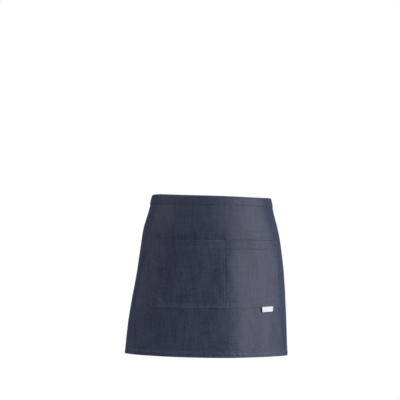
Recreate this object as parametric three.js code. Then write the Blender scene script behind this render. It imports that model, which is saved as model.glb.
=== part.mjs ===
// Denim waist apron in the form it takes when worn: a wide panel wrapped round the hips, a folded
// waistband over its top edge, two ties knotted at the back, a divided patch pocket and a small label.
// Millimetres. The origin is the middle of the waist at the waistband's top edge. +Z is up, -Y is the
// wearer's front and +X the wearer's left. A place on the cloth is given by two lengths: across, measured
// along the cloth from the centre front, and drop, measured down from the waistband's top edge.
import * as THREE from "three";
import { RoundedBoxGeometry } from "three/addons/geometries/RoundedBoxGeometry.js";

// Driving dimensions
const CLOTH = 1.2; // one layer of denim
const GAP = 0.3; // between layers that are sewn together
const PANEL = { width: 700, length: 400, sideHem: 12.5, bottomHem: 14, hemFold: 1.4 };
const BAND = { height: 22 };
const POCKET = { width: 340, top: 110.5, height: 167, hem: 22, hemFold: 1, gape: 10, tilt: 0.8 };
const LABEL = { across: 123, width: 37, height: 13, thickness: 0.8, overlap: 1.2, tilt: 2.5 };
const TIE = { height: 20, thickness: 2.4, pinch: 13, pinchFrom: 0.4, stations: 10 };
const KNOT = { width: 28, height: 24, depth: 15, radius: 5, roundSteps: 3, proud: 4 };
const TAIL_LENGTH = 300;

// Plan outline of the cloth at a few drops: how far it reaches from the waist's middle each way.
const SECTIONS = [
  { drop: 0, left: 152, right: 153, front: 113, back: 108 },
  { drop: 40, left: 162, right: 162, front: 117, back: 118 },
  { drop: 80, left: 174, right: 172.5, front: 120, back: 126 },
  { drop: 130, left: 182, right: 182, front: 123, back: 133 },
  { drop: 200, left: 193, right: 188, front: 127, back: 137 },
  { drop: 300, left: 211, right: 193, front: 131, back: 139 },
  { drop: 400, left: 223.5, right: 197, front: 135, back: 140 },
];
const SQUARENESS = 2.15; // 2 is an ellipse, and more has flatter sides

// How the cloth hangs out of level: the dip towards the right of the table, the rise of the waist over both
// hips, and the rise of each side at the hem, where the panel flares.
const HANG = { waistDip: 2.9, hemDip: 1, waistRise: 6, leftRise: 3, rightRise: 0.6 };

// Soft folds that run down the cloth: the middle, half width and height of each, and the drops between
// which it grows. Height is outwards.
const FOLDS = [
  { across: 14, reach: 70, height: 4.8, from: 20, to: 200 },
  { across: 125, reach: 95, height: -4, from: 10, to: 180 },
  { across: -110, reach: 95, height: -2, from: 60, to: 320 },
  { across: -238, reach: 60, height: 7, from: 120, to: 400 },
  { across: 282, reach: 55, height: -6, from: 160, to: 400 },
  { across: -318, reach: 40, height: -5, from: 200, to: 400 },
];

// Free ends of the ties, from the knot down: how far each lies from the middle and behind the knot.
const TAIL_ROWS = [
  { down: 0, side: 7.2, out: 0, width: 12, turn: 0 },
  { down: 35, side: 12, out: 3, width: 18, turn: 8 },
  { down: 90, side: 20, out: 11, width: 20, turn: 16 },
  { down: 160, side: 29, out: 18, width: 20, turn: 10 },
  { down: 230, side: 35, out: 21, width: 20, turn: 2 },
  { down: 300, side: 38, out: 21, width: 20, turn: -6 },
];

// Mesh steps
const COLUMN_STEP = 12.5;
const ROW_STEP = 25;
const HEM_STEP = 0.5;

const denim = new THREE.MeshStandardMaterial({ color: 0x333b52, roughness: 0.75, metalness: 0 });
const wovenWhite = new THREE.MeshStandardMaterial({ color: 0xe8e8ee, roughness: 0.6, metalness: 0 });

// A column of a table at any place down it, as a smooth curve through the rows.
function smooth(rows, key, name, place) {
  let i = 0;
  while (i < rows.length - 2 && rows[i + 1][key] < place) i += 1;
  const slope = (k) => {
    const before = rows[Math.max(k - 1, 0)];
    const after = rows[Math.min(k + 1, rows.length - 1)];
    return (after[name] - before[name]) / (after[key] - before[key]);
  };
  const span = rows[i + 1][key] - rows[i][key];
  const t = (place - rows[i][key]) / span;
  const start = rows[i][name] * (1 + 2 * t) * (1 - t) ** 2 + slope(i) * span * t * (1 - t) ** 2;
  const end = rows[i + 1][name] * t * t * (3 - 2 * t) + slope(i + 1) * span * t * t * (t - 1);
  return start + end;
}

// Half of the plan outline at a drop, from the centre front round one side to the centre back.
class HalfOutline extends THREE.Curve {
  constructor(drop, side) {
    super();
    this.side = side;
    this.wide = smooth(SECTIONS, "drop", side > 0 ? "right" : "left", drop);
    this.front = smooth(SECTIONS, "drop", "front", drop);
    this.back = smooth(SECTIONS, "drop", "back", drop);
  }
  getPoint(t, target = new THREE.Vector3()) {
    const power = 2 / SQUARENESS;
    const [s, c] = [Math.sin(t * Math.PI), Math.cos(t * Math.PI)];
    const deep = c > 0 ? -this.front : this.back;
    return target.set(this.side * this.wide * s ** power, deep * Math.abs(c) ** power, 0);
  }
}

const outlines = new Map();
function outline(drop, side) {
  const key = `${drop} ${side}`;
  if (!outlines.has(key)) outlines.set(key, new HalfOutline(drop, side));
  return outlines.get(key);
}

// Height of the folds at a place on the cloth.
function foldHeight(across, drop) {
  let height = 0;
  for (const fold of FOLDS) {
    const away = Math.abs(across - fold.across) / fold.reach;
    const grown = THREE.MathUtils.smoothstep(drop, fold.from, fold.to);
    if (away < 1) height += fold.height * grown * 0.5 * (1 + Math.cos(Math.PI * away));
  }
  return height;
}

// The point at a place on the cloth, a distance out from the panel's inner face.
function clothPoint(across, drop, out) {
  const side = across < 0 ? -1 : 1;
  const half = outline(drop, side);
  const share = Math.abs(across) / half.getLength();
  const point = half.getPointAt(share);
  const along = half.getTangentAt(share);
  const aside = point.x / half.wide;
  const reach = out + foldHeight(across, drop);
  point.x += side * along.y * reach;
  point.y -= side * along.x * reach;
  const down = drop / PANEL.length;
  const wide = point.x / SECTIONS[0].right;
  const dip = THREE.MathUtils.lerp(HANG.waistDip, HANG.hemDip, down);
  const rise = down * (side < 0 ? HANG.leftRise : HANG.rightRise);
  const lift = HANG.waistRise * (1 - down) ** 3 * aside ** 4;
  point.z = -drop - dip * wide + rise * wide * wide + lift;
  return point;
}

// Even steps from one value to another, both included.
function steps(from, to, step) {
  const count = Math.max(1, Math.round((to - from) / step));
  return Array.from({ length: count + 1 }, (_, i) => from + ((to - from) * i) / count);
}

function geometryOf(points, triangles) {
  const geometry = new THREE.BufferGeometry().setFromPoints(points);
  geometry.setIndex(triangles.flat());
  geometry.computeVertexNormals();
  return geometry;
}

// A closed wall over a grid of places, between an inner and an outer face.
function wall(columns, rows, outer, inner) {
  const faces = [outer, inner].map((face) => rows.map((r) => columns.map((c) => face(c, r))));
  const points = faces.flat(2);
  const [wide, tall] = [columns.length, rows.length];
  const index = (face, r, c) => (face * tall + r) * wide + c;
  const triangles = [];
  const quad = (a, b, c, d) => triangles.push([a, b, c], [a, c, d]);
  for (let r = 0; r < tall - 1; r += 1) {
    for (let c = 0; c < wide - 1; c += 1) {
      quad(index(0, r, c), index(0, r + 1, c), index(0, r + 1, c + 1), index(0, r, c + 1));
      quad(index(1, r, c), index(1, r, c + 1), index(1, r + 1, c + 1), index(1, r + 1, c));
    }
  }
  for (let c = 0; c < wide - 1; c += 1) {
    quad(index(0, 0, c), index(0, 0, c + 1), index(1, 0, c + 1), index(1, 0, c));
    quad(index(0, tall - 1, c), index(1, tall - 1, c), index(1, tall - 1, c + 1), index(0, tall - 1, c + 1));
  }
  for (let r = 0; r < tall - 1; r += 1) {
    quad(index(0, r, 0), index(1, r, 0), index(1, r + 1, 0), index(0, r + 1, 0));
    quad(index(0, r, wide - 1), index(0, r + 1, wide - 1), index(1, r + 1, wide - 1), index(1, r, wide - 1));
  }
  return geometryOf(points, triangles);
}

// A closed bar through a row of stations, each a ring of points. The profile is the ring's flat outline.
// Faces are split along the diagonal that a wall's are, so that layers of cloth nest.
function bar(stations, profile) {
  const ring = profile.length;
  const triangles = [];
  for (let s = 0; s < stations.length - 1; s += 1) {
    for (let p = 0; p < ring; p += 1) {
      const next = (p + 1) % ring;
      const [a, b] = [s * ring + p, s * ring + next];
      const down = profile[next].y > profile[p].y;
      triangles.push(down ? [a, b, b + ring] : [a, b, a + ring]);
      triangles.push(down ? [a, b + ring, a + ring] : [b, b + ring, a + ring]);
    }
  }
  const last = (stations.length - 1) * ring;
  for (const [a, b, c] of THREE.ShapeUtils.triangulateShape(profile, [])) {
    triangles.push([a, c, b], [last + a, last + b, last + c]);
  }
  return geometryOf(stations.flat(), triangles);
}

// The corners of a flat strip's section, in the order that makes its faces point out.
const STRIP = [
  [-1, -1],
  [1, -1],
  [1, 1],
  [-1, 1],
].map(([x, y]) => new THREE.Vector2(x, y));

// Panel: one layer, with the side and bottom hems folded to the inside below the waistband.
const panelTop = CLOTH + GAP;
const hemTop = BAND.height + GAP;
function panelColumns() {
  const hemLine = PANEL.width / 2 - PANEL.sideHem;
  const beside = steps(POCKET.width / 2, hemLine - HEM_STEP, COLUMN_STEP).slice(1);
  const right = [...beside, hemLine + HEM_STEP, PANEL.width / 2];
  return [...right.map((c) => -c).reverse(), ...pocketColumns(), ...right];
}

function panelRows() {
  const pocketBottom = POCKET.top + POCKET.height;
  const hemLine = PANEL.length - PANEL.bottomHem;
  return [
    panelTop,
    hemTop,
    hemTop + 2 * HEM_STEP,
    ...steps(BAND.height + ROW_STEP, POCKET.top, ROW_STEP),
    ...pocketRows().slice(1),
    ...steps(pocketBottom, hemLine - ROW_STEP, ROW_STEP).slice(1),
    hemLine - HEM_STEP,
    hemLine + HEM_STEP,
    PANEL.length,
  ];
}

function inHem(across, drop) {
  const sideHem = Math.abs(across) > PANEL.width / 2 - PANEL.sideHem;
  return drop > hemTop + HEM_STEP && (sideHem || drop > PANEL.length - PANEL.bottomHem);
}

function makePanel() {
  const inner = (c, r) => clothPoint(c, r, inHem(c, r) ? -PANEL.hemFold : 0);
  return wall(panelColumns(), panelRows(), (c, r) => clothPoint(c, r, CLOTH), inner);
}

// Waistband: a strip folded over the panel's top edge, with a leaf on each side of it.
function makeWaistband() {
  const [innerFace, outerFace] = [-GAP - CLOTH, 2 * CLOTH + GAP];
  const middle = (innerFace + outerFace) / 2;
  const radius = (outerFace - innerFace) / 2;
  const roundTop = steps(0, Math.PI, Math.PI / 4).map((turn) => [
    middle - radius * Math.cos(turn),
    radius * (1 - Math.sin(turn)),
  ]);
  const profile = [
    ...roundTop,
    [outerFace, BAND.height],
    [CLOTH + GAP, BAND.height],
    [CLOTH + GAP, CLOTH],
    [-GAP, CLOTH],
    [-GAP, BAND.height],
    [innerFace, BAND.height],
  ].map(([out, drop]) => new THREE.Vector2(out, drop));
  const stations = panelColumns().map((c) => profile.map((p) => clothPoint(c, p.y, p.x)));
  return bar(stations, profile);
}

// Pocket: sewn flat at its sides, foot and middle, and a little open at its mouth between them. Its rows
// rise a little towards the wearer's left, because the waistband dips there and the pocket hangs level.
function pocketColumns() {
  const right = steps(0, POCKET.width / 2, COLUMN_STEP).slice(1);
  return [...right.map((c) => -c).reverse(), 0, ...right];
}

function pocketRows() {
  const hemLine = POCKET.top + POCKET.hem;
  const bottom = POCKET.top + POCKET.height;
  return [POCKET.top, hemLine - HEM_STEP, hemLine + HEM_STEP, ...steps(hemLine, bottom, ROW_STEP).slice(1)];
}

function pocketGape(across, row) {
  const half = POCKET.width / 2;
  const open = Math.sin((Math.PI * Math.abs(across)) / half);
  return POCKET.gape * open * (1 - (row - POCKET.top) / POCKET.height);
}

function pocketDrop(across, row) {
  return row - across * Math.tan(THREE.MathUtils.degToRad(POCKET.tilt));
}

const pocketInner = CLOTH + GAP;
function makePocket() {
  const hemLine = POCKET.top + POCKET.hem;
  const inner = (c, r) => clothPoint(c, pocketDrop(c, r), pocketInner + pocketGape(c, r));
  const outer = (c, r) => {
    const fold = r < hemLine ? POCKET.hemFold : 0;
    return clothPoint(c, pocketDrop(c, r), pocketInner + CLOTH + fold + pocketGape(c, r));
  };
  return wall(pocketColumns(), pocketRows(), outer, inner);
}

// Label: a small woven rectangle sewn over the pocket's lower edge.
function makeLabel() {
  const inner = pocketInner + CLOTH + GAP;
  const foot = pocketDrop(LABEL.across, POCKET.top + POCKET.height);
  const middleDrop = foot - LABEL.overlap + LABEL.height / 2;
  const turn = THREE.MathUtils.degToRad(LABEL.tilt);
  const face = (out) => (c, r) => {
    const across = LABEL.across + c * Math.cos(turn) + r * Math.sin(turn);
    const drop = middleDrop + r * Math.cos(turn) - c * Math.sin(turn);
    return clothPoint(across, drop, out);
  };
  const columns = steps(-LABEL.width / 2, LABEL.width / 2, LABEL.width / 4);
  const rows = steps(-LABEL.height / 2, LABEL.height / 2, LABEL.height / 2);
  return wall(columns, rows, face(inner + LABEL.thickness), face(inner));
}

// Knot: one plain rounded piece at the centre back.
const bandMiddle = BAND.height / 2;
const backHalf = outline(bandMiddle, 1).getLength();
const knotMiddle = clothPoint(backHalf, bandMiddle, CLOTH / 2 + KNOT.proud);
function makeKnot() {
  return new RoundedBoxGeometry(KNOT.width, KNOT.depth, KNOT.height, KNOT.roundSteps, KNOT.radius);
}

// Tie: a strip that carries on from the end of the waistband to the knot, where it bunches up.
function makeTie(side) {
  const start = PANEL.width / 2 + GAP;
  const stations = steps(0, 1, 1 / TIE.stations).map((way) => {
    const near = THREE.MathUtils.smoothstep(way, TIE.pinchFrom, 1);
    const height = THREE.MathUtils.lerp(TIE.height, TIE.pinch, near);
    const out = CLOTH / 2 + near * KNOT.proud;
    const corner = (p) => {
      const drop = bandMiddle + (side * p.y * height) / 2;
      const end = outline(drop, side).getLength() - KNOT.width / 2 - GAP;
      const across = THREE.MathUtils.lerp(start, end, way);
      return clothPoint(side * across, drop, out + (p.x * TIE.thickness) / 2);
    };
    return STRIP.map(corner);
  });
  return bar(stations, STRIP);
}

// Tail: the free end of a tie, hanging from the knot.
function makeTail(side) {
  const top = knotMiddle.z - KNOT.height / 2 - GAP;
  const stations = steps(0, TAIL_LENGTH, ROW_STEP).map((down) => {
    const value = (name) => smooth(TAIL_ROWS, "down", name, down);
    const turn = THREE.MathUtils.degToRad(value("turn")) * side;
    const corner = (p) => {
      const along = (p.x * value("width")) / 2;
      const deep = (p.y * TIE.thickness) / 2;
      return new THREE.Vector3(
        side * value("side") + along * Math.cos(turn) - deep * Math.sin(turn),
        knotMiddle.y + value("out") + along * Math.sin(turn) + deep * Math.cos(turn),
        top - down,
      );
    };
    return STRIP.map(corner).reverse();
  });
  return bar(stations, STRIP);
}

const apron = new THREE.Group();
apron.name = "waist_apron";
function add(name, geometry, material) {
  const mesh = new THREE.Mesh(geometry, material);
  mesh.name = name;
  apron.add(mesh);
  return mesh;
}

add("apron_panel", makePanel(), denim);
add("waistband", makeWaistband(), denim);
add("pocket", makePocket(), denim);
add("label", makeLabel(), wovenWhite);
for (const [word, side] of [["left", 1], ["right", -1]]) {
  add(`tie_${word}`, makeTie(side), denim);
  add(`tie_tail_${word}`, makeTail(side), denim);
}
add("tie_knot", makeKnot(), denim).position.copy(knotMiddle);

export default apron;
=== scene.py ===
"""The looks of a denim waist apron: sewn cloth sheets, tape ties, stitches and woven finishes.

Lengths on the cloth are in millimetres: across from the centre front, drop from the waistband's top edge,
and out from the panel's inner face. Meshes are in metres, in the frame of the CAD model.
"""
import math

import bpy
import numpy as np
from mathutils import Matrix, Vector


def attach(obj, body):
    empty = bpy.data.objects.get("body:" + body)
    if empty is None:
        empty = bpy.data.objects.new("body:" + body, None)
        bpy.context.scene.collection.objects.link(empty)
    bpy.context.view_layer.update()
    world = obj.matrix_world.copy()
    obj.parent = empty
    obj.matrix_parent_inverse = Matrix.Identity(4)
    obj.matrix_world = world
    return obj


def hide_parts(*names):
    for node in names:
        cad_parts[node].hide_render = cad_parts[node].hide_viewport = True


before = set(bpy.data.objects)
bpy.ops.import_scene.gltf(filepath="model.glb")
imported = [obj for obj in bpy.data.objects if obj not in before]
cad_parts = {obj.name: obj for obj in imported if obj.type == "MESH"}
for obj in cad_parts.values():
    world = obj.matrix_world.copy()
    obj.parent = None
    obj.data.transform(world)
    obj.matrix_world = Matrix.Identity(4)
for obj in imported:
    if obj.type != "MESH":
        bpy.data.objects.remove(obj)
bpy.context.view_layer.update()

MM = 0.001

# Sizes of the sewn pieces
CLOTH = 1.2
GAP = 0.3
PANEL = dict(width=700.0, length=400.0, top=1.5, side_hem=12.5, bottom_hem=14.0, hem_fold=1.4)
BAND = dict(height=22.0, stitch=2.2, puff=0.25)
POCKET = dict(
    width=340.0, top=110.5, height=167.0, tilt=0.8, gape=4.0, closing=6.0,
    hem=22.0, hem_fold=0.8, turned=8.2, turned_fold=0.8)
LABEL = dict(
    across=123.0, width=37.0, height=13.0, thickness=0.8, overlap=1.2, tilt=2.5, curl=1.8, hang=1.5,
    end_fold=4.0, fold_thickness=0.5, stitch=1.6, dent=0.7)
TIE = dict(height=20.0, thickness=2.4, pinch=13.0, pinch_from=0.4, tucked=4.0, from_centre=6.0, pleat=0.9)
KNOT = dict(height=24.0, proud=4.0)
TAIL = dict(
    length=300.0, in_knot=9.0, hem=10.0, hem_swell=0.45, pleat=1.1,
    cup=0.7, cup_length=31.0, cup_level=0.4, ripple=0.8, ripple_length=23.0)
PANEL_HALF = PANEL["width"] / 2
POCKET_HALF = POCKET["width"] / 2
POCKET_FOOT = POCKET["top"] + POCKET["height"]
POCKET_INNER = CLOTH + GAP
POCKET_SLOPE = math.tan(math.radians(POCKET["tilt"]))
BAND_MIDDLE = BAND["height"] / 2

# Plan outline of the cloth at a few drops: drop, then the reach to the left, right, front and back
SECTIONS = np.array([
    (0, 152, 153, 113, 108),
    (40, 162, 162, 117, 118),
    (80, 174, 172.5, 120, 126),
    (130, 182, 182, 123, 133),
    (200, 193, 188, 127, 137),
    (300, 211, 193, 131, 139),
    (400, 223.5, 197, 135, 140),
], float)
LEFT, RIGHT, FRONT, BACK = 1, 2, 3, 4
SQUARENESS = 2.15
HANG = dict(waist_dip=2.9, hem_dip=1.0, waist_rise=6.0, left_rise=3.0, right_rise=0.6)

# Soft folds down the cloth: middle, half width, height, and the drops between which each grows
FOLDS = [
    (14, 70, 4.8, 20, 200),
    (125, 95, -4, 10, 180),
    (-110, 95, -2, 60, 320),
    (-238, 60, 7, 120, 400),
    (282, 55, -6, 160, 400),
    (-318, 40, -5, 200, 400),
]

# Free ends of the ties: down from the knot, then side, out, width and turn in degrees
TAIL_ROWS = np.array([
    (0, 7.2, 0, 12, 0),
    (35, 12, 3, 18, 8),
    (90, 20, 11, 20, 16),
    (160, 29, 18, 20, 10),
    (230, 35, 21, 20, 2),
    (300, 38, 21, 20, -6),
], float)
SIDE, OUT, WIDTH, TURN = 1, 2, 3, 4


# Curves
def smooth(table, column, place):
    """A column of a table at any place down it, as a smooth curve through the rows."""
    keys, values = table[:, 0], table[:, column]
    slopes = np.empty(len(keys))
    slopes[1:-1] = (values[2:] - values[:-2]) / (keys[2:] - keys[:-2])
    slopes[0] = (values[1] - values[0]) / (keys[1] - keys[0])
    slopes[-1] = (values[-1] - values[-2]) / (keys[-1] - keys[-2])
    i = np.clip(np.searchsorted(keys, place) - 1, 0, len(keys) - 2)
    span = keys[i + 1] - keys[i]
    t = (place - keys[i]) / span
    start = values[i] * (1 + 2 * t) * (1 - t) ** 2 + slopes[i] * span * t * (1 - t) ** 2
    end = values[i + 1] * t * t * (3 - 2 * t) + slopes[i + 1] * span * t * t * (t - 1)
    return start + end


def step(x, low, high):
    """Smooth step from 0 at low to 1 at high."""
    t = np.clip((x - low) / (high - low), 0, 1)
    return t * t * (3 - 2 * t)


def ridge(x, middle, width):
    """Rounded bump of height 1 about a line."""
    return np.exp(-(((x - middle) / width) ** 2))


def arch(x, low, high):
    """Half wave of height 1 between two places, and 0 outside them."""
    return np.sin(np.pi * np.clip((x - low) / (high - low), 0, 1))


WAVE_SPREAD = (0.7, 1.6)


def waves(count, seed, across_length, drop_length):
    """Random plane waves of about the given lengths, as rows of across and drop frequency and phase."""
    draw = np.random.default_rng(seed)
    rows = np.empty((count, 3))
    lengths = across_length * draw.uniform(*WAVE_SPREAD, count)
    rows[:, 0] = 2 * np.pi / lengths * draw.choice([-1, 1], count)
    rows[:, 1] = 2 * np.pi / (drop_length * draw.uniform(*WAVE_SPREAD, count))
    rows[:, 2] = draw.uniform(0, 2 * np.pi, count)
    return rows


def rough(rows, across, drop):
    """Sum of plane waves with a spread of about 1."""
    total = np.zeros(np.broadcast(across, drop).shape)
    for f, g, phase in rows:
        total += np.sin(f * across + g * drop + phase)
    return total * math.sqrt(2 / len(rows))


# The worn surface of the cloth
DROP_STEP = 2.0
DROPS = np.arange(-DROP_STEP, PANEL["length"] + 2 * DROP_STEP, DROP_STEP)
SHARES = np.linspace(0, 1, 801)
OUTLINE_POINTS = 1601


def outline_table(side):
    """Half of the plan outline at each of DROPS: its length, and points and normals at SHARES of it."""
    t = np.linspace(0, np.pi, OUTLINE_POINTS)
    power = 2 / SQUARENESS
    lengths, points = [], []
    for drop in DROPS:
        wide, front, back = (smooth(SECTIONS, c, drop) for c in (RIGHT if side > 0 else LEFT, FRONT, BACK))
        deep = np.where(np.cos(t) > 0, -front, back)
        x = side * wide * np.abs(np.sin(t)) ** power
        y = deep * np.abs(np.cos(t)) ** power
        run = np.concatenate([[0], np.cumsum(np.hypot(np.diff(x), np.diff(y)))])
        lengths.append(run[-1])
        points.append([np.interp(SHARES * run[-1], run, v) for v in (x, y)])
    points = np.array(points)
    along = np.gradient(points, axis=2)
    along /= np.linalg.norm(along, axis=1, keepdims=True)
    normals = np.stack([side * along[:, 1], -side * along[:, 0]], axis=1)
    return np.array(lengths), np.concatenate([points, normals], axis=1)


OUTLINES = {side: outline_table(side) for side in (-1, 1)}


def half_length(drop, side):
    return np.interp(drop, DROPS, OUTLINES[side][0])


def fold_height(across, drop):
    height = np.zeros(np.broadcast(across, drop).shape)
    for middle, reach, size, start, full in FOLDS:
        away = np.minimum(np.abs(across - middle) / reach, 1)
        height += size * step(drop, start, full) * 0.5 * (1 + np.cos(np.pi * away))
    return height


SOFT_WAVES = waves(9, 11, 95, 330)
FINE_WAVES = waves(12, 12, 34, 70)
PUCKER_WAVES = waves(5, 13, 10.5, 60)
ROPE_WAVES = waves(4, 14, 11.5, 22)
SOFT = dict(height=0.45, start=18, full=120)
FINE = dict(height=0.1, start=5, full=60)
GATHER = dict(
    reach=7, side_reach=8, seam=4, within=2, beyond=8, evenness=0.25,
    band=0.14, pocket=0.13, divider=0.15, side_hem=0.2)
GATHER_SHIFT = dict(divider=40, pocket_foot=70, side_hem=90)
ROPING = dict(height=0.2, from_foot=8, reach=8)
CREASE = dict(across=-162, drop=264, slope=0.56, width=5, reach=13, height=1.2)


def pucker(along, away, reach, size):
    """Small gathers that a seam draws up: along the seam, and fading with the distance from it."""
    return size * rough(PUCKER_WAVES, along, away) * np.exp(-((away / reach) ** 2))


def relief(across, drop):
    """Small unevenness that all layers of the cloth share: waves, seam gathers, a roped hem, a crease."""
    height = SOFT["height"] * step(drop, SOFT["start"], SOFT["full"]) * rough(SOFT_WAVES, across, drop)
    height += FINE["height"] * step(drop, FINE["start"], FINE["full"]) * rough(FINE_WAVES, across, drop)
    row = drop + POCKET_SLOPE * across
    beyond = GATHER["beyond"]
    in_pocket = arch(row, POCKET["top"] - beyond, POCKET_FOOT + beyond) ** GATHER["evenness"]
    in_width = 1 - step(np.abs(across), POCKET_HALF - GATHER["within"], POCKET_HALF + beyond)
    from_side = np.abs(across) - POCKET_HALF + GATHER["seam"]
    from_foot = row - POCKET_FOOT + GATHER["seam"]
    from_hem = PANEL_HALF - np.abs(across) - PANEL["side_hem"]
    reach, shift = GATHER["reach"], GATHER_SHIFT
    height += pucker(across, drop - BAND["height"], reach, GATHER["band"])
    height += pucker(drop, from_side, reach, GATHER["pocket"]) * in_pocket
    height += pucker(drop + shift["divider"], across, reach, GATHER["divider"]) * in_pocket
    height += pucker(across + shift["pocket_foot"], from_foot, reach, GATHER["pocket"]) * in_width
    height += pucker(drop + shift["side_hem"], from_hem, GATHER["side_reach"], GATHER["side_hem"])
    roped = ridge(drop, PANEL["length"] - ROPING["from_foot"], ROPING["reach"])
    height += ROPING["height"] * roped * rough(ROPE_WAVES, across, drop)
    from_crease = drop - CREASE["drop"] - CREASE["slope"] * (across - CREASE["across"])
    crease = ridge(from_crease, 0, CREASE["width"]) * ridge(across, CREASE["across"], CREASE["reach"])
    return height + CREASE["height"] * crease


def cloth(across, drop, out):
    """Points at places on the cloth, a distance out from the panel's inner face."""
    across, drop, out = np.broadcast_arrays(*(np.asarray(v, float) for v in (across, drop, out)))
    found = np.empty(across.shape + (4,))
    # Places stay just short of the tables' ends, so that a next row and column exist
    for side, pick in ((1, across >= 0), (-1, across < 0)):
        table = OUTLINES[side][1]
        row = np.clip((drop[pick] - DROPS[0]) / DROP_STEP, 0, len(DROPS) - 1.001)
        share = np.clip(np.abs(across[pick]) / half_length(drop[pick], side), 0, 0.9999) * (len(SHARES) - 1)
        i, j = row.astype(int), share.astype(int)
        a, b = (row - i)[:, None], (share - j)[:, None]
        upper = (1 - b) * table[i, :, j] + b * table[i, :, j + 1]
        lower = (1 - b) * table[i + 1, :, j] + b * table[i + 1, :, j + 1]
        found[pick] = (1 - a) * upper + a * lower
    normal = found[..., 2:] / np.linalg.norm(found[..., 2:], axis=-1, keepdims=True)
    reach = out + fold_height(across, drop) + relief(across, drop)
    plan = found[..., :2] + normal * reach[..., None]
    down = drop / PANEL["length"]
    wide = plan[..., 0] / SECTIONS[0, RIGHT]
    dip = HANG["waist_dip"] + (HANG["hem_dip"] - HANG["waist_dip"]) * down
    rise = down * np.where(across < 0, HANG["left_rise"], HANG["right_rise"])
    reach = np.where(across < 0, smooth(SECTIONS, LEFT, drop), smooth(SECTIONS, RIGHT, drop))
    lift = HANG["waist_rise"] * (1 - down) ** 3 * (found[..., 0] / reach) ** 4
    height = -drop - dip * wide + rise * wide * wide + lift
    return np.concatenate([plan, height[..., None]], axis=-1)


# Faces of the sewn pieces, as distances out from the panel's inner face
GROOVE = 0.28
GROOVE_WIDTH = 0.9
EDGE_STITCH = 2.6
INNER_STITCH = 7.2
PANEL_INSET = 1.6
POCKET_INSET = 2.0
HEM_STITCH = dict(
    side=PANEL["side_hem"] - PANEL_INSET, bottom=PANEL["bottom_hem"] - PANEL_INSET,
    pocket=POCKET["hem"] - POCKET_INSET)
DIVIDER = 3.0
HEM_PUFF = 0.3
HEM_STEP = dict(panel=0.8, pocket=1.3, turned=1.4)
POCKET_DENT = dict(inner=1.4, hem=0.6, divider=1.4)
EDGE_LEFT = 0.05


def groove(away):
    """Dent that a row of stitches draws into the cloth."""
    return GROOVE * ridge(away, 0, GROOVE_WIDTH)


def edge_round(away, radius):
    """Share of the thickness left near a folded edge, which ends in a round."""
    t = np.clip(away / radius, 0, 1)
    return EDGE_LEFT + (1 - EDGE_LEFT) * np.sqrt(1 - (1 - t) ** 2)


def panel_edges(across, drop):
    return PANEL_HALF - np.abs(across), PANEL["length"] - drop


def panel_outer(across, drop):
    side, foot = panel_edges(across, drop)
    lift = np.maximum(arch(side, 0, HEM_STITCH["side"]), arch(foot, 0, HEM_STITCH["bottom"]))
    dent = np.maximum(groove(side - HEM_STITCH["side"]), groove(foot - HEM_STITCH["bottom"]))
    return CLOTH + HEM_PUFF * lift - dent


def panel_inner(across, drop):
    side, foot = panel_edges(across, drop)
    below_band = step(drop, BAND["height"] + 1, BAND["height"] + 3)
    soft = HEM_STEP["panel"]
    in_side = 1 - step(side, PANEL["side_hem"] - soft, PANEL["side_hem"] + soft)
    in_foot = 1 - step(foot, PANEL["bottom_hem"] - soft, PANEL["bottom_hem"] + soft)
    dent = np.maximum(groove(side - HEM_STITCH["side"]), groove(foot - HEM_STITCH["bottom"]))
    return -(PANEL["hem_fold"] - dent) * np.maximum(in_side, in_foot) * below_band


def pocket_drop(across, row):
    """Drop of a place on the pocket, whose rows rise a little towards the wearer's left."""
    return row - POCKET_SLOPE * across


def pocket_edges(across, row):
    return np.minimum(POCKET_HALF - np.abs(across), POCKET_FOOT - row), row - POCKET["top"]


def pocket_inner(across, row):
    opened = np.sin(np.pi * np.abs(across) / POCKET_HALF)
    closing = 1 - (row - POCKET["top"]) / POCKET["height"]
    return POCKET_INNER + POCKET["gape"] * opened * closing ** POCKET["closing"]


def pocket_outer(across, row):
    edge, mouth = pocket_edges(across, row)
    width = POCKET["turned"]
    turned = POCKET["turned_fold"] * (1 - step(edge, width, width + HEM_STEP["turned"]))
    soft = HEM_STEP["pocket"]
    hem = POCKET["hem_fold"] * (1 - step(mouth, POCKET["hem"] - soft, POCKET["hem"] + soft))
    below = step(mouth, -1, 1)
    dents = [groove(edge - EDGE_STITCH), POCKET_DENT["inner"] * groove(edge - INNER_STITCH)]
    dents.append(POCKET_DENT["hem"] * groove(mouth - HEM_STITCH["pocket"]))
    dents.append(POCKET_DENT["divider"] * groove(np.abs(across) - DIVIDER) * below)
    dent = np.maximum.reduce(np.broadcast_arrays(*dents))
    return pocket_inner(across, row) + CLOTH + np.maximum(turned, hem) - dent


BAND_INNER = -GAP - CLOTH
BAND_OUTER = 2 * CLOTH + GAP
LABEL_OUT = POCKET_INNER + CLOTH + POCKET["turned_fold"] + GAP
LABEL_SPAN = dict(hang=(-5, 6), curl_across=(2, LABEL["width"] / 2), curl_down=(-4, LABEL["height"] / 2))
LABEL_DROP = pocket_drop(LABEL["across"], POCKET_FOOT) - LABEL["overlap"] + LABEL["height"] / 2


def label_place(c, r):
    """Across and drop of a place on the label, from its middle."""
    turn = math.radians(LABEL["tilt"])
    across = LABEL["across"] + c * math.cos(turn) + r * math.sin(turn)
    return across, LABEL_DROP + r * math.cos(turn) - c * math.sin(turn)


def label_inner(c, r):
    """The label lies on the pocket's edge, hangs down over it, and lifts at its free lower corner."""
    hang = LABEL["hang"] * step(r, *LABEL_SPAN["hang"])
    lift = LABEL["curl"] * step(-c, *LABEL_SPAN["curl_across"]) * step(r, *LABEL_SPAN["curl_down"])
    return LABEL_OUT - hang + lift


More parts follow.
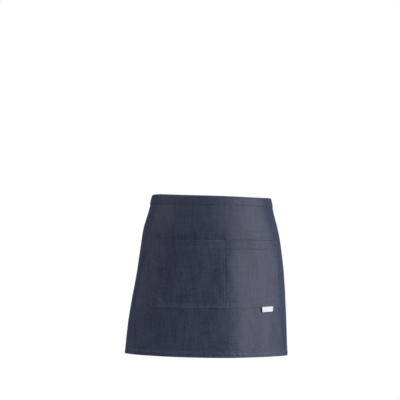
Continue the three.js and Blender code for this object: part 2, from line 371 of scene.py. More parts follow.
def label_fold(c):
    """Thickness that the label's folded ends add."""
    end = LABEL["width"] / 2 - np.abs(c)
    single = step(end, LABEL["end_fold"], LABEL["end_fold"] + LABEL["thickness"])
    return LABEL["fold_thickness"] * (1 - single)


# Mesh building
PITCH = dict(panel=2.8, band=2.4, pocket=2.3, label_across=0.8, label_down=0.7, tail=2.6)
TIE_RINGS = 44
EDGE_STEPS = (0.0, 0.12, 0.4, 0.8, 1.35)
LINE_STEPS = (-1.7, -0.8, 0.0, 0.8, 1.7)
EDGE_RADIUS = dict(panel=1.3, pocket=1.9, label=0.45, tail=1.2)
# Shifts of the pieces' places in the weave, so that it doesn't repeat from one to the next
WEAVE_SHIFT = dict(pocket=(0.17, 0.4), tie=31, tail=60)


def spread(low, high, pitch, lines=(), edges=()):
    """Even places from low to high, with more of them beside stitch lines and folded edges."""
    extra = [line + d for line in lines for d in LINE_STEPS]
    extra += [edge + (d if edge == low else -d) for edge in edges for d in EDGE_STEPS]
    even = np.linspace(low, high, round((high - low) / pitch) + 1)
    kept = [p for p in even if all(abs(p - e) > 0.5 * pitch for e in extra)]
    return np.array(sorted(set(np.round([low, high] + kept + extra, 5))))


def mirrored(lines):
    return [sign * line for line in lines for sign in (-1, 1)]


def new_object(name, points, faces, materials, flat, wear=None, face_material=None):
    """A smooth mesh object from points in millimetres, with places on the flat cloth as its UV map."""
    mesh = bpy.data.meshes.new(name)
    mesh.from_pydata((np.asarray(points) * MM).tolist(), [], [list(f) for f in faces])
    for material in materials:
        mesh.materials.append(material)
    mesh.polygons.foreach_set("use_smooth", np.ones(len(mesh.polygons), bool))
    if face_material is not None:
        mesh.polygons.foreach_set("material_index", np.asarray(face_material, np.int32))
    corners = np.empty(len(mesh.loops), np.int32)
    mesh.loops.foreach_get("vertex_index", corners)
    layer = mesh.uv_layers.new(name="cloth")
    layer.data.foreach_set("uv", (np.asarray(flat, np.float32) * MM)[corners].ravel())
    worn = np.zeros(len(mesh.vertices)) if wear is None else np.asarray(wear)
    mesh.attributes.new("wear", "FLOAT", "POINT").data.foreach_set("value", worn.astype(np.float32).ravel())
    mesh.update()
    thing = bpy.data.objects.new(name, mesh)
    bpy.context.scene.collection.objects.link(thing)
    return thing


def grid_faces(rows, columns, start=0, flip=False):
    """Quads of a grid of points, row by row."""
    r, c = np.meshgrid(np.arange(rows - 1), np.arange(columns - 1), indexing="ij")
    a = (start + r * columns + c).ravel()
    quads = np.stack([a, a + columns, a + columns + 1, a + 1], axis=1)
    return quads[:, ::-1] if flip else quads


def rim_faces(rows, columns):
    """Quads that join the borders of two grids of the same size, one after the other."""
    top = np.arange(columns)
    right = np.arange(rows) * columns + columns - 1
    bottom = (rows - 1) * columns + top[::-1]
    left = right[::-1] - columns + 1
    loop = np.concatenate([top[:-1], right[:-1], bottom[:-1], left[:-1]])
    after = np.roll(loop, -1)
    other = rows * columns
    return np.stack([loop, after, after + other, loop + other], axis=1)


def thinned(across, drop, outer, inner, share):
    """Grids of points on a sheet's two faces, with a share of its thickness left at each place."""
    middle, half = (outer + inner) / 2, (outer - inner) / 2 * share
    return cloth(across, drop, middle + half), cloth(across, drop, middle - half)


def wall(name, outer, inner, flat, materials, wear, inner_material):
    """A closed sheet from grids of points on its outer and inner face."""
    rows, columns = outer.shape[:2]
    outside = grid_faces(rows, columns)
    inside = grid_faces(rows, columns, rows * columns, flip=True)
    rim = rim_faces(rows, columns)
    faces = np.concatenate([outside, inside, rim])
    kinds = np.concatenate([np.zeros(len(outside)), inner_material[:-1, :-1].ravel(), np.zeros(len(rim))])
    points = np.concatenate([outer.reshape(-1, 3), inner.reshape(-1, 3)])
    flat = np.concatenate([flat.reshape(-1, 2)] * 2)
    wear = np.concatenate([wear.ravel()] * 2)
    return new_object(name, points, faces, materials, flat, wear, kinds)


def bar_faces(stations, ring, start=0, closed=False):
    """Faces of a bar through rings of points, with ends unless it closes on itself."""
    s, p = np.meshgrid(np.arange(stations if closed else stations - 1), np.arange(ring), indexing="ij")
    after = (s + 1) % stations
    around = (p + 1) % ring
    quads = np.stack([s * ring + p, s * ring + around, after * ring + around, after * ring + p], axis=-1)
    faces = (quads.reshape(-1, 4) + start).tolist()
    if not closed:
        faces.append([start + i for i in reversed(range(ring))])
        faces.append([start + (stations - 1) * ring + i for i in range(ring)])
    return faces


def turned_out(points, faces):
    """Faces in the order that makes a closed shell's normals point outwards."""
    points = np.asarray(points)
    volume = 0.0
    for face in faces:
        fan = points[face]
        volume += np.sum(np.cross(fan[1:-1], fan[2:]) @ fan[0])
    return faces if volume > 0 else [face[::-1] for face in faces]


def worn_lines(*lines):
    """Paler lines where the cloth rubs: strength, distance, place and width of each."""
    return sum(strength * ridge(away, place, width) for strength, away, place, width in lines)


# Section of a sewn strip: places across its width and through its thickness, from -1 to 1, with round edges
STRIP_STITCH = 0.76
STRIP_FLAT = 0.88
STRIP_DENT = dict(depth=0.2, width=0.05)
STRIP_CROWN = 0.06
STRIP_SEAT = dict(edge=0.84, hem=1.1)
PLEATS = 2.5


def strip_section():
    half = np.array([0.25, 0.5, 0.7, STRIP_STITCH, 0.81, STRIP_FLAT])
    face = np.concatenate([-half[::-1], [0], half])
    dent = STRIP_DENT["depth"] * ridge(np.abs(face), STRIP_STITCH, STRIP_DENT["width"])
    depth = 1 - dent + STRIP_CROWN * (1 - face * face)
    turn = np.radians([30, 60, 90, 120, 150])
    edge = STRIP_FLAT + (1 - STRIP_FLAT) * np.sin(turn)
    wide = np.concatenate([face, edge, face[::-1], -edge])
    deep = np.concatenate([depth, np.cos(turn), -depth[::-1], -np.cos(turn)])
    return wide, deep


STRIP_WIDE, STRIP_DEEP = strip_section()
STRIP_AROUND = np.arange(len(STRIP_WIDE)) / len(STRIP_WIDE) * 2 * TIE["height"]
STRIP_WEAR = worn_lines((0.45, np.abs(STRIP_WIDE), 1, 0.08))


def strip_depth(seat, lift):
    """Depth in a strip's section of a stitch that lies at its seat, lifted by millimetres."""
    return seat + lift * 2 / TIE["thickness"]


# Stitches: short rounded lengths of thread that dip into the cloth at both ends
STITCH = dict(length=2.75, pitch=3.5, radius=0.27, girth=1.6, sides=6, jitter=0.12, probe=0.3)
# Distances that rows of stitches keep from the ends of their pieces
ROW_ENDS = dict(panel=4, band=2, pocket=2, label=1, tail=4)
STITCH_ALONG = np.array([0, 0.14, 0.5, 0.86, 1])
STITCH_LIFT = np.array([-0.22, 0.1, 0.2, 0.1, -0.22])


def sewn(name, rows, material):
    """Rows of stitches as one object. A row is a length and a function from distance and lift to points."""
    points, faces, flat = [], [], []
    start = 0
    draw = np.random.default_rng(21)
    ring = np.arange(STITCH["sides"]) * 2 * np.pi / STITCH["sides"]
    for length, place in rows:
        count = max(1, int(length / STITCH["pitch"]))
        first = (length - count * STITCH["pitch"] + STITCH["pitch"] - STITCH["length"]) / 2
        begin = first + STITCH["pitch"] * np.arange(count)
        begin += draw.uniform(-STITCH["jitter"], STITCH["jitter"], count)
        s = begin[:, None] + STITCH["length"] * STITCH_ALONG
        lift = np.broadcast_to(STITCH_LIFT, s.shape)
        middle = place(s, lift)
        up = place(s, lift + STITCH["probe"]) - middle
        up /= np.linalg.norm(up, axis=-1, keepdims=True)
        along = np.gradient(middle, axis=1)
        along /= np.linalg.norm(along, axis=-1, keepdims=True)
        across = np.cross(along, up)
        spin = ring[None, None, :, None]
        thread = np.cos(spin) * across[:, :, None] + np.sin(spin) * up[:, :, None]
        shell = middle[:, :, None] + STITCH["radius"] * thread
        around = np.broadcast_to(ring / (2 * np.pi) * STITCH["girth"], s.shape + (STITCH["sides"],))
        flat.append(np.stack([np.broadcast_to(s[..., None], around.shape), around], axis=-1).reshape(-1, 2))
        points.append(shell.reshape(-1, 3))
        for _ in range(count):
            faces += bar_faces(len(STITCH_ALONG), STITCH["sides"], start)
            start += len(STITCH_ALONG) * STITCH["sides"]
    return new_object(name, np.concatenate(points), faces, [material], np.concatenate(flat))


def level_drop(across, row):
    """Drop of a place on a piece whose rows follow the waistband."""
    return row


def row_across(low, high, row, face, drop=level_drop, way=1):
    """A row of stitches along the cloth, on a face that looks out (way 1) or in (way -1)."""
    def place(s, lift):
        across = low + s
        return cloth(across, drop(across, row), face(across, row) + way * lift)

    return high - low, place


def row_down(across, low, high, face, drop=level_drop, way=1):
    """A row of stitches down the cloth at one place across, on a face that looks out or in."""
    def place(s, lift):
        row = low + s
        return cloth(across, drop(across, row), face(across, row) + way * lift)

    return high - low, place


# Materials
def add_node(tree, kind, inputs=None, **settings):
    node = tree.nodes.new(kind)
    for key, value in settings.items():
        setattr(node, key, value)
    for socket, value in (inputs or {}).items():
        if isinstance(value, bpy.types.NodeSocket):
            tree.links.new(value, node.inputs[socket])
        else:
            node.inputs[socket].default_value = value
    return node


def calc(tree, operation, a, b=0.0, clamp=False):
    return add_node(tree, "ShaderNodeMath", {0: a, 1: b}, operation=operation, use_clamp=clamp).outputs[0]


def blended(tree, factor, a, b):
    node = add_node(tree, "ShaderNodeMix", {0: factor, 6: a, 7: b}, data_type="RGBA")
    return node.outputs[2]


def wave(tree, place, pitch, angle):
    """Lines of a pitch in metres at an angle to the cloth's width, from 0 to 1."""
    turn = math.radians(angle)
    frequency = 2 * math.pi / pitch
    way = (frequency * math.sin(turn), -frequency * math.cos(turn), 0)
    phase = add_node(tree, "ShaderNodeVectorMath", {0: place, 1: way}, operation="DOT_PRODUCT")
    sine = calc(tree, "SINE", phase.outputs["Value"])
    return calc(tree, "ADD", calc(tree, "MULTIPLY", sine, 0.5), 0.5)


def mottle(tree, place, across_size, down_size, detail):
    """Soft noise of a size in metres across and down the cloth, about 0.5."""
    size = (1 / across_size, 1 / down_size, 0)
    scaled = add_node(tree, "ShaderNodeVectorMath", {0: place, 1: size}, operation="MULTIPLY").outputs[0]
    inputs = {"Vector": scaled, "Scale": 1.0, "Detail": detail, "Roughness": 0.6}
    return add_node(tree, "ShaderNodeTexNoise", inputs, noise_dimensions="2D").outputs[0]


def weighted(tree, terms, base):
    """A base value plus each term's weight times its distance from 0.5."""
    total = base
    for value, weight in terms:
        centred = calc(tree, "SUBTRACT", value, 0.5)
        total = calc(tree, "ADD", calc(tree, "MULTIPLY", centred, weight), total)
    return total


def new_material(name):
    made = bpy.data.materials.new(name)
    made.use_nodes = True
    return made, made.node_tree, made.node_tree.nodes["Principled BSDF"]


# Gain in roughness as the cloth turns edge on: where it starts and is full, from 0 to 1, and the most it adds
FUZZ = dict(start=0.28, full=0.58, most=0.5)


def edge_fuzz(tree):
    """Roughness added where the cloth is seen edge on, where loose fibres break up the gloss."""
    facing = add_node(tree, "ShaderNodeLayerWeight").outputs["Facing"]
    inputs = {"Value": facing, "From Min": FUZZ["start"], "From Max": FUZZ["full"], "To Max": FUZZ["most"]}
    return add_node(tree, "ShaderNodeMapRange", inputs, interpolation_type="SMOOTHSTEP").outputs[0]


def finish_material(tree, shader, colour, roughness, height, depth, specular):
    tree.links.new(colour, shader.inputs["Base Color"])
    tree.links.new(calc(tree, "ADD", roughness, edge_fuzz(tree), clamp=True), shader.inputs["Roughness"])
    shader.inputs["Specular IOR Level"].default_value = specular
    bump = add_node(tree, "ShaderNodeBump", {"Height": height, "Distance": depth, "Strength": 0.6})
    tree.links.new(bump.outputs[0], shader.inputs["Normal"])


def cloth_place(tree):
    return add_node(tree, "ShaderNodeUVMap", uv_map="cloth").outputs[0]


def make_denim(name, dark, light, worn, specular, twill_angle, rib):
    """Indigo twill: diagonal ribs over fine warp yarns, slub streaks, cloudy dye and paler worn edges."""
    made, tree, shader = new_material(name)
    place = cloth_place(tree)
    twill = wave(tree, place, 0.00115, twill_angle)
    yarn = wave(tree, place, 0.00052, 90)
    streak = mottle(tree, place, 0.0022, 0.075, 4)
    weft = mottle(tree, place, 0.06, 0.0019, 3)
    cloud = mottle(tree, place, 0.05, 0.08, 4)
    blotch = mottle(tree, place, 0.006, 0.0065, 3)
    fleck = mottle(tree, place, 0.0007, 0.0012, 2)
    terms = [(twill, rib), (yarn, 0.1), (streak, 0.85), (weft, 0.5)]
    terms += [(cloud, 0.42), (fleck, 0.35), (blotch, 0.7)]
    tone = calc(tree, "ADD", weighted(tree, terms, 0.42), 0.0, clamp=True)
    colour = blended(tree, tone, dark, light)
    wear = add_node(tree, "ShaderNodeAttribute", attribute_name="wear").outputs["Fac"]
    rubbed = weighted(tree, [(streak, 0.9), (fleck, 0.9), (twill, 0.3)], 0.8)
    colour = blended(tree, calc(tree, "MULTIPLY", wear, rubbed, clamp=True), colour, worn)
    roughness = weighted(tree, [(streak, 0.16), (twill, -0.1)], 0.42)
    bumps = [(twill, 0.5), (yarn, 0.22), (streak, 0.55), (weft, 0.35), (cloud, 3), (blotch, 0.9)]
    height = weighted(tree, bumps, 0.5)
    finish_material(tree, shader, colour, roughness, height, 0.00035, specular)
    return made


def make_thread():
    """Twisted cotton sewing thread, a little lighter than the cloth."""
    made, tree, shader = new_material("thread_cotton")
    place = cloth_place(tree)
    ply = wave(tree, place, 0.00055, 55)
    fuzz = mottle(tree, place, 0.004, 0.0006, 2)
    tone = calc(tree, "ADD", weighted(tree, [(ply, 0.5), (fuzz, 0.6)], 0.5), 0.0, clamp=True)
    colour = blended(tree, tone, (0.02, 0.026, 0.046, 1), (0.068, 0.081, 0.118, 1))
    roughness = weighted(tree, [(fuzz, 0.2)], 0.6)
    finish_material(tree, shader, colour, roughness, ply, 0.0001, 0.35)
    return made


def make_label():
    """White woven satin tape with fine ribs across and soft soiling."""
    made, tree, shader = new_material("label_satin")
    place = cloth_place(tree)
    rib = wave(tree, place, 0.0006, 0)
    yarn = wave(tree, place, 0.00045, 90)
    grime = mottle(tree, place, 0.009, 0.006, 4)
    thread = mottle(tree, place, 0.006, 0.0005, 2)
    terms = [(rib, 0.25), (yarn, 0.15), (grime, 0.5), (thread, 0.4)]
    tone = calc(tree, "ADD", weighted(tree, terms, 0.62), 0.0, clamp=True)
    colour = blended(tree, tone, (0.4, 0.4, 0.42, 1), (0.72, 0.72, 0.75, 1))
    wear = add_node(tree, "ShaderNodeAttribute", attribute_name="wear").outputs["Fac"]
    colour = blended(tree, calc(tree, "MULTIPLY", wear, grime, clamp=True), colour, (0.42, 0.42, 0.44, 1))
    roughness = weighted(tree, [(thread, 0.2)], 0.5)
    height = weighted(tree, [(rib, 0.6), (yarn, 0.4), (thread, 0.4)], 0.5)
    finish_material(tree, shader, colour, roughness, height, 0.00012, 0.4)
    return made


DENIM = make_denim(
    "denim_face", specular=0.35, twill_angle=63, rib=0.22,
    dark=(0.007, 0.0105, 0.027, 1), light=(0.041, 0.057, 0.114, 1), worn=(0.115, 0.135, 0.18, 1))
REVERSE = make_denim(
    "denim_reverse", specular=0.3, twill_angle=117, rib=0.6,
    dark=(0.05, 0.062, 0.09, 1), light=(0.2, 0.22, 0.26, 1), worn=(0.26, 0.28, 0.31, 1))
THREAD = make_thread()
WOVEN = make_label()


def denim_bar(name, rings, flat, wear):
    """A closed bar of denim through rings of points."""
    points = rings.reshape(-1, 3)
    faces = turned_out(points, bar_faces(*rings.shape[:2]))
    wear = np.broadcast_to(wear, rings.shape[:2])
    return new_object(name, points, faces, [DENIM], flat.reshape(-1, 2), wear.ravel())


# The panel
def make_panel():
    side_lines = mirrored([PANEL_HALF - HEM_STITCH["side"]])
    columns = spread(-PANEL_HALF, PANEL_HALF, PITCH["panel"], side_lines, (-PANEL_HALF, PANEL_HALF))
    length, hem_stitch = PANEL["length"], HEM_STITCH["bottom"]
    rows = spread(PANEL["top"], length, PITCH["panel"], [length - hem_stitch], (length,))
    across, drop = np.meshgrid(columns, rows)
    side, foot = panel_edges(across, drop)
    outer, inner = panel_outer(across, drop), panel_inner(across, drop)
    share = edge_round(np.minimum(side, foot), EDGE_RADIUS["panel"])
    wear = worn_lines(
        (0.55, foot, 0, 1.6), (0.4, side, 0, 1.6),
        (0.22, foot, hem_stitch - 2.5, 1.2), (0.12, foot, hem_stitch + 2, 1.5))
    reverse = (side > PANEL["side_hem"]) & (foot > PANEL["bottom_hem"])
    flat = np.stack([across, -drop], axis=-1)
    faces = thinned(across, drop, outer, inner, share)
    return wall("panel_cloth", *faces, flat, [DENIM, REVERSE], wear, reverse)


def sew_panel():
    side, foot = PANEL_HALF - HEM_STITCH["side"], PANEL["length"] - HEM_STITCH["bottom"]
    top = BAND["height"] + ROW_ENDS["panel"]
    rows = []
    for face, way in ((panel_outer, 1), (panel_inner, -1)):
        rows.append(row_across(-side, side, foot, face, way=way))
        rows += [row_down(c, top, foot, face, way=way) for c in (-side, side)]
    return sewn("panel_stitches", rows, THREAD)


# The waistband, a strip folded over the panel's top edge
def band_outer(across, drop):
    foot = BAND["height"] - drop
    puff = BAND["puff"] * arch(foot, BAND["stitch"], BAND["height"])
    return BAND_OUTER + puff - groove(foot - BAND["stitch"])


def band_inner(across, drop):
    return BAND_INNER + BAND_OUTER - band_outer(across, drop)


def band_section():
    """Places round the band's section: down the outer leaf from its fold, and back up the inner one."""
    middle, radius = (BAND_INNER + BAND_OUTER) / 2, (BAND_OUTER - BAND_INNER) / 2
    bend = np.radians(range(-80, 81, 20))
    fold = [(middle + radius * math.sin(t), radius * (1 - math.cos(t))) for t in bend]
    line = BAND["height"] - BAND["stitch"]
    drops = [3.2, 5, 7.5, 10, 12.5, 15, 17.2] + [line + d for d in (-1.7, -0.8, 0, 0.8)]
    half, foot = CLOTH / 2, BAND["height"] - CLOTH / 2
    turn = np.radians([90, 60, 30, 0, -30, -60, -90])
    outer_edge = [(BAND_OUTER - half + half * math.sin(t), foot + half * math.cos(t)) for t in turn]
    inner_edge = [(BAND_INNER + half + half * math.sin(t), foot + half * math.cos(t)) for t in turn]
    inside = [(CLOTH + GAP, d) for d in (15, 8, CLOTH)] + [(-GAP, d) for d in (CLOTH, 8, 15)]
    outer_leaf = [(float(band_outer(0, d)), d) for d in drops]
    inner_leaf = [(float(band_inner(0, d)), d) for d in reversed(drops)]
    return np.array(fold + outer_leaf + outer_edge + inside + inner_edge + inner_leaf)


def make_band():
    section = band_section()
    columns = spread(-PANEL_HALF, PANEL_HALF, PITCH["band"])
    rings = cloth(columns[:, None], section[None, :, 1], section[None, :, 0])
    around = np.concatenate([[0], np.cumsum(np.hypot(*np.diff(section, axis=0).T))])
    flat = np.stack(np.broadcast_arrays(columns[:, None], -around[None, :]), axis=-1)
    drop = section[:, 1]
    wear = worn_lines((0.5, drop, 0, 1.6), (0.25, drop, BAND["height"], 1.2))
    return denim_bar("band_cloth", rings, flat, wear)


def sew_band():
    line, end = BAND["height"] - BAND["stitch"], PANEL_HALF - ROW_ENDS["band"]
    rows = [row_across(-end, end, line, face, way=way) for face, way in ((band_outer, 1), (band_inner, -1))]
    return sewn("band_stitches", rows, THREAD)


# The pocket
MOUTH_SHARPNESS = 1.8


def make_pocket():
    lines = mirrored([POCKET_HALF - EDGE_STITCH, POCKET_HALF - INNER_STITCH, DIVIDER])
    columns = spread(-POCKET_HALF, POCKET_HALF, PITCH["pocket"], lines, (-POCKET_HALF, POCKET_HALF))
    hem_stitch = HEM_STITCH["pocket"]
    row_lines = [POCKET["top"] + hem_stitch, POCKET_FOOT - EDGE_STITCH, POCKET_FOOT - INNER_STITCH]
    rows = spread(POCKET["top"], POCKET_FOOT, PITCH["pocket"], row_lines, (POCKET["top"], POCKET_FOOT))
    across, row = np.meshgrid(columns, rows)
    edge, mouth = pocket_edges(across, row)
    outer, inner = pocket_outer(across, row), pocket_inner(across, row)
    share = edge_round(np.minimum(edge, MOUTH_SHARPNESS * mouth), EDGE_RADIUS["pocket"])
    foot = POCKET_FOOT - row
    between = (EDGE_STITCH + INNER_STITCH) / 2
    wear = worn_lines(
        (0.45, foot, 0, 1.5), (0.06, edge, 0, 1.5), (0.16, foot, between, 1.3),
        (0.1, mouth, 0, 1.8), (0.12, mouth, hem_stitch - 3, 1.5), (0.12, across, 0, 1.2))
    reverse = (mouth > POCKET["hem"]) & (edge > POCKET["turned"])
    flat = np.stack([across, -row], axis=-1) + WEAVE_SHIFT["pocket"]
    faces = thinned(across, pocket_drop(across, row), outer, inner, share)
    return wall("pocket_cloth", *faces, flat, [DENIM, REVERSE], wear, reverse)


def sew_pocket():
    """Two rows round the pocket and two down its middle, seen inside the panel too, and its hem's row."""
    rows = []
    top, inner_foot = POCKET["top"] + ROW_ENDS["pocket"], POCKET_FOOT - INNER_STITCH
    for face, way in ((pocket_outer, 1), (panel_inner, -1)):
        for inset in (EDGE_STITCH, INNER_STITCH):
            side, foot = POCKET_HALF - inset, POCKET_FOOT - inset
            rows += [row_down(c, top, foot, face, pocket_drop, way) for c in (-side, side)]
            rows.append(row_across(-side, side, foot, face, pocket_drop, way))
        rows += [row_down(c, top, inner_foot, face, pocket_drop, way) for c in (-DIVIDER, DIVIDER)]
    hem, side = POCKET["top"] + HEM_STITCH["pocket"], POCKET_HALF - INNER_STITCH
    rows.append(row_across(-side, side, hem, pocket_outer, pocket_drop))
    return sewn("pocket_stitches", rows, THREAD)


# The label
def make_label_piece():
    half_wide, half_tall = LABEL["width"] / 2, LABEL["height"] / 2
    columns = spread(-half_wide, half_wide, PITCH["label_across"], (), (-half_wide, half_wide))
    rows = spread(-half_tall, half_tall, PITCH["label_down"], (), (-half_tall, half_tall))
    c, r = np.meshgrid(columns, rows)
    edge = half_tall - np.abs(r)
    rim = np.minimum(half_wide - np.abs(c), edge)
    inner = label_inner(c, r)
    outer = inner + LABEL["thickness"] + label_fold(c) - LABEL["dent"] * groove(edge - LABEL["stitch"])
    faces = thinned(*label_place(c, r), outer, inner, edge_round(rim, EDGE_RADIUS["label"]))
    wear = worn_lines((0.8, rim, 0, 0.6))
    flat = np.stack([c, -r], axis=-1)
    return wall("label_woven", *faces, flat, [WOVEN], wear, np.zeros(c.shape))


def sew_label():
    length = LABEL["width"] - 2 * ROW_ENDS["label"]

    def place(s, lift):
        c = s - length / 2
        r = np.full(s.shape, LABEL["stitch"] - LABEL["height"] / 2)
        out = label_inner(c, r) + LABEL["thickness"] + label_fold(c) - LABEL["dent"] * GROOVE
        return cloth(*label_place(c, r), out + lift)

    return sewn("label_stitches", [(length, place)], WOVEN)


# The ties
def tie_place(side, way, wide, deep):
    """Points on a tie: its way from the band to the knot, and the place in its section."""
    near = step(way, TIE["pinch_from"], 1)
    height = TIE["height"] + (TIE["pinch"] - TIE["height"]) * near
    pleat = TIE["pleat"] * near * np.cos(PLEATS * np.pi * wide)
    out = CLOTH / 2 + near * KNOT["proud"] + deep * TIE["thickness"] / 2 + pleat
    drop = BAND_MIDDLE + wide * height / 2
    start = PANEL_HALF - TIE["tucked"]
    end = half_length(drop, side) - TIE["from_centre"]
    return cloth(side * (start + (end - start) * way), drop, out)


def make_tie(side, name):
    way = np.linspace(0, 1, TIE_RINGS)
    rings = tie_place(side, way[:, None], STRIP_WIDE[None, :], STRIP_DEEP[None, :])
    length = half_length(BAND_MIDDLE, side) - PANEL_HALF
    along = way[:, None] * length + WEAVE_SHIFT["tie"]
    flat = np.stack(np.broadcast_arrays(along, STRIP_AROUND[None, :]), axis=-1)
    return denim_bar(name, rings, flat, STRIP_WEAR)


def sew_tie(side, name):
    length = half_length(BAND_MIDDLE, side) - PANEL_HALF - TIE["from_centre"]

    def row(edge):
        def place(s, lift):
            return tie_place(side, s / length, edge, strip_depth(STRIP_SEAT["edge"], lift))

        return length, place

    return sewn(name, [row(edge) for edge in (-STRIP_STITCH, STRIP_STITCH)], THREAD)


# The free ends below the knot
KNOT_AT = cloth(half_length(BAND_MIDDLE, 1), BAND_MIDDLE, CLOTH / 2 + KNOT["proud"])
KNOT_AT[0] = 0
TAIL_TOP = KNOT_AT[2] - KNOT["height"] / 2 - GAP
TAIL_SPAN = dict(pleat=(0, 42), cup=(30, 120), ripple=(40, 110))
HEM_ROW = dict(length=16.0, from_end=8.0)


def tail_place(side, down, wide, deep):
    """Points on a free end: its way down, and the place in its section."""
    below = np.maximum(down, 0)
    sideways, out, width, turn = (smooth(TAIL_ROWS, c, below) for c in (SIDE, OUT, WIDTH, TURN))
    turn = np.radians(turn) * side
    pleat = TAIL["pleat"] * (1 - step(down, *TAIL_SPAN["pleat"])) * np.cos(PLEATS * np.pi * wide)
    cup = TAIL["cup"] * step(down, *TAIL_SPAN["cup"]) * np.sin(down / TAIL["cup_length"] + side)
    cup = cup * (wide * wide - TAIL["cup_level"])
    swing = np.sin(down / TAIL["ripple_length"] + 2 * side)
    ripple = TAIL["ripple"] * step(down, *TAIL_SPAN["ripple"]) * swing
    hem_line = TAIL["length"] - TAIL["hem"]
    swell = 1 + TAIL["hem_swell"] * step(down, hem_line - 1, hem_line + 1)
    along = wide * width / 2
    depth = deep * TIE["thickness"] / 2 * swell + pleat + cup + ripple
    x = side * sideways + along * np.cos(turn) - depth * np.sin(turn)
    y = KNOT_AT[1] + out + along * np.sin(turn) + depth * np.cos(turn)
    return np.stack(np.broadcast_arrays(x, y, TAIL_TOP - down), axis=-1)


def make_tail(side, name):
    length = TAIL["length"]
    down = spread(-TAIL["in_knot"], length, PITCH["tail"], (length - TAIL["hem"],), (length,))
    round_end = edge_round(length - down, EDGE_RADIUS["tail"])[:, None]
    rings = tail_place(side, down[:, None], STRIP_WIDE[None, :], STRIP_DEEP[None, :] * round_end)
    around = STRIP_AROUND[None, :] + WEAVE_SHIFT["tail"] * side
    flat = np.stack(np.broadcast_arrays(around, -down[:, None]), axis=-1)
    wear = STRIP_WEAR[None, :] + worn_lines((0.5, down, length, 2))[:, None]
    return denim_bar(name, rings, flat, wear)


def sew_tail(side, name):
    """Rows along both edges and across the hem, on the two faces of a free end."""
    def edge_row(face, edge):
        def place(s, lift):
            depth = face * strip_depth(STRIP_SEAT["edge"], lift)
            return tail_place(side, s + ROW_ENDS["tail"], edge, depth)

        return TAIL["length"] - 2 * ROW_ENDS["tail"], place

    def hem_row(face):
        def place(s, lift):
            wide = (s - HEM_ROW["length"] / 2) / (TIE["height"] / 2)
            down = TAIL["length"] - HEM_ROW["from_end"]
            return tail_place(side, down, wide, face * strip_depth(STRIP_SEAT["hem"], lift))

        return HEM_ROW["length"], place

    rows = []
    for face in (-1, 1):
        rows += [edge_row(face, edge) for edge in (-STRIP_STITCH, STRIP_STITCH)]
        rows.append(hem_row(face))
    return sewn(name, rows, THREAD)


# The knot: two turns of tape that cross over each other, bunched into soft pleats
TURN_RINGS = 84
TURNS = [
    dict(lean=28, half_long=10.4, half_deep=5.3, width=14),
    dict(lean=-38, half_long=9.6, half_deep=3.9, width=13),
]
TAPE = dict(roundness=0.8, thickness=1.15, pleats=3, pleat=0.55, drift=0.6, crown=0.9, waist=0.14, sway=0.5)
TAPE_CELL = (0.6, 0.8)


def knot_turn(lean, half_long, half_deep, width):
    """Points of one turn of tape, a closed loop in the plane of a slanting line and the depth."""
    t = np.linspace(0, 2 * np.pi, TURN_RINGS, endpoint=False)[:, None]
    c, s = np.cos(t), np.sin(t)
    long = half_long * np.sign(c) * np.abs(c) ** TAPE["roundness"]
    deep = half_deep * np.sign(s) * np.abs(s) ** TAPE["roundness"]
    norm = np.hypot(c / half_long, s / half_deep)
    pleat = TAPE["pleat"] * np.cos(TAPE["pleats"] * np.pi * STRIP_WIDE + TAPE["drift"] * np.sin(2 * t))
    thick = TAPE["thickness"] * STRIP_DEEP + pleat - TAPE["crown"] * STRIP_WIDE ** 2
    long = long + thick * c / half_long / norm
    deep = deep + thick * s / half_deep / norm
    narrowed = 1 - TAPE["waist"] * s * s
    side = STRIP_WIDE * width / 2 * narrowed + TAPE["sway"] * np.sin(2 * t)
    a = math.radians(lean)
    x = long * math.cos(a) - side * math.sin(a)
    z = long * math.sin(a) + side * math.cos(a)
    return np.stack(np.broadcast_arrays(x, deep, z), axis=-1)


def make_knot():
    points, faces, flat, wear = [], [], [], []
    start = 0
    rubbed = worn_lines((0.35, np.abs(STRIP_WIDE), 1, 0.1))
    for turn in TURNS:
        rings = knot_turn(**turn)
        shell = rings.reshape(-1, 3)
        made = turned_out(shell, bar_faces(*rings.shape[:2], closed=True))
        faces += [[i + start for i in face] for face in made]
        points.append(shell + KNOT_AT)
        along, around = (np.arange(count) * size for count, size in zip(rings.shape[:2], TAPE_CELL))
        flat.append(np.stack(np.meshgrid(around, along), axis=-1).reshape(-1, 2) + turn["lean"])
        wear.append(np.broadcast_to(rubbed, rings.shape[:2]).ravel())
        start += len(shell)
    points, flat, wear = (np.concatenate(part) for part in (points, flat, wear))
    return new_object("knot_tape", points, faces, [DENIM], flat, wear)


# Put the pieces together
def place_piece(piece, slot, *nodes):
    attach(piece, "root")
    if nodes:
        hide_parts(*nodes)
    return piece


panel = place_piece(make_panel(), "denim", "apron_panel")
band = place_piece(make_band(), "denim", "waistband")
pocket = place_piece(make_pocket(), "denim", "pocket")
label = place_piece(make_label_piece(), "label", "label")
knot = place_piece(make_knot(), "denim", "tie_knot")
panel_stitches = place_piece(sew_panel(), "denim")
band_stitches = place_piece(sew_band(), "denim")
pocket_stitches = place_piece(sew_pocket(), "denim")
label_stitches = place_piece(sew_label(), "label")

for word, side in (("left", 1), ("right", -1)):
    tie = place_piece(make_tie(side, "tie_strip_" + word), "denim", "tie_" + word)
    tie_stitches = place_piece(sew_tie(side, "tie_stitches_" + word), "denim")
    tail = place_piece(make_tail(side, "tail_strip_" + word), "denim", "tie_tail_" + word)
    tail_stitches = place_piece(sew_tail(side, "tail_stitches_" + word), "denim")

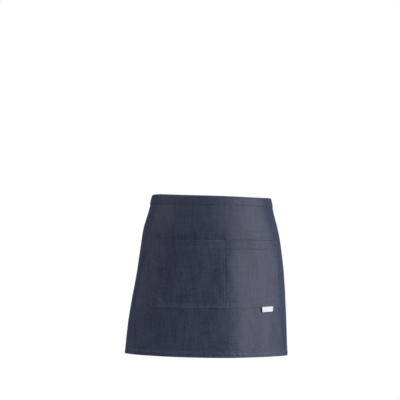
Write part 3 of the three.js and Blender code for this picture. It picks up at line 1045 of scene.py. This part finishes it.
# Camera, floor and light: angles in degrees, lengths in metres, powers in watts
CAMERA = dict(azimuth=-13.2, distance=3.0, height=-0.231, focal_px=1162.6, axis_px=211.5, horizon_px=288.8)
PHOTO_PX = 400
SENSOR = 36.0
FLOOR = dict(radius=4.0, height=-1.05, sides=96, glow=0.02)
KEY = dict(azimuth=61, elevation=8, distance=2.4, size=(0.7, 1.8), power=47)
FILL = dict(azimuth=-80, elevation=35, distance=3.0, size=(1.5, 1.5), power=12)
LIT_PLACE = Vector((0, 0, -0.2))
AMBIENT = dict(low=0.1, high=1.1, horizon=0.05, overhead=0.85)


def make_camera():
    a = math.radians(CAMERA["azimuth"])
    right = Vector((math.cos(a), math.sin(a), 0))
    forward = Vector((-math.sin(a), math.cos(a), 0))
    up = Vector((0, 0, 1))
    yaw = math.atan2(CAMERA["axis_px"] - PHOTO_PX / 2, CAMERA["focal_px"])
    pitch = math.atan2(CAMERA["horizon_px"] - PHOTO_PX / 2, CAMERA["focal_px"])
    level = forward * math.cos(yaw) - right * math.sin(yaw)
    look = level * math.cos(pitch) + up * math.sin(pitch)
    data = bpy.data.cameras.new("camera")
    data.sensor_width = SENSOR
    data.lens = SENSOR * CAMERA["focal_px"] / PHOTO_PX
    camera = bpy.data.objects.new("camera", data)
    camera.location = up * CAMERA["height"] - forward * CAMERA["distance"]
    camera.rotation_euler = look.to_track_quat("-Z", "Y").to_euler()
    bpy.context.scene.collection.objects.link(camera)
    bpy.context.scene.camera = camera


def make_floor(radius, height, sides, glow):
    turn = np.linspace(0, 2 * np.pi, sides, endpoint=False)
    ring = [(radius * math.cos(t), radius * math.sin(t), height) for t in turn]
    mesh = bpy.data.meshes.new("floor")
    mesh.from_pydata(ring, [], [list(range(len(ring)))])
    pale, _, shader = new_material("floor_pale")
    shader.inputs["Base Color"].default_value = (0.86, 0.86, 0.86, 1)
    shader.inputs["Roughness"].default_value = 0.8
    shader.inputs["Emission Color"].default_value = (1, 1, 1, 1)
    shader.inputs["Emission Strength"].default_value = glow
    mesh.materials.append(pale)
    floor = bpy.data.objects.new("floor", mesh)
    bpy.context.scene.collection.objects.link(floor)


def soft_box(name, azimuth, elevation, distance, size, power):
    """A flat light that faces the middle of the cloth from a direction."""
    a, e = math.radians(azimuth), math.radians(elevation)
    way = Vector((math.sin(a) * math.cos(e), -math.cos(a) * math.cos(e), math.sin(e)))
    data = bpy.data.lights.new(name, "AREA")
    data.shape = "RECTANGLE"
    data.size, data.size_y = size
    data.energy = power
    lamp = bpy.data.objects.new(name, data)
    lamp.location = LIT_PLACE + way * distance
    lamp.rotation_euler = way.to_track_quat("Z", "Y").to_euler()
    bpy.context.scene.collection.objects.link(lamp)


def make_world(low, high, horizon, overhead):
    """White light that grows from the horizon upwards, and a white background behind the object."""
    world = bpy.data.worlds.new("studio")
    bpy.context.scene.world = world
    world.use_nodes = True
    tree = world.node_tree
    tree.nodes.clear()
    place = add_node(tree, "ShaderNodeTexCoord")
    way = add_node(tree, "ShaderNodeSeparateXYZ", {0: place.outputs["Generated"]})
    rise = {"From Min": horizon, "From Max": overhead, "To Min": low, "To Max": high}
    strength = add_node(tree, "ShaderNodeMapRange", {"Value": way.outputs["Z"], **rise}).outputs[0]
    lit = add_node(tree, "ShaderNodeBackground", {"Color": (1, 1, 1, 1), "Strength": strength})
    seen = add_node(tree, "ShaderNodeBackground", {"Color": (1, 1, 1, 1), "Strength": 1.0})
    direct = add_node(tree, "ShaderNodeLightPath").outputs["Is Camera Ray"]
    mixed = add_node(tree, "ShaderNodeMixShader", {0: direct, 1: lit.outputs[0], 2: seen.outputs[0]})
    add_node(tree, "ShaderNodeOutputWorld", {"Surface": mixed.outputs[0]})


make_camera()
make_floor(**FLOOR)
soft_box("key", **KEY)
soft_box("left_fill", **FILL)
make_world(**AMBIENT)
bpy.context.scene.view_settings.view_transform = "Standard"
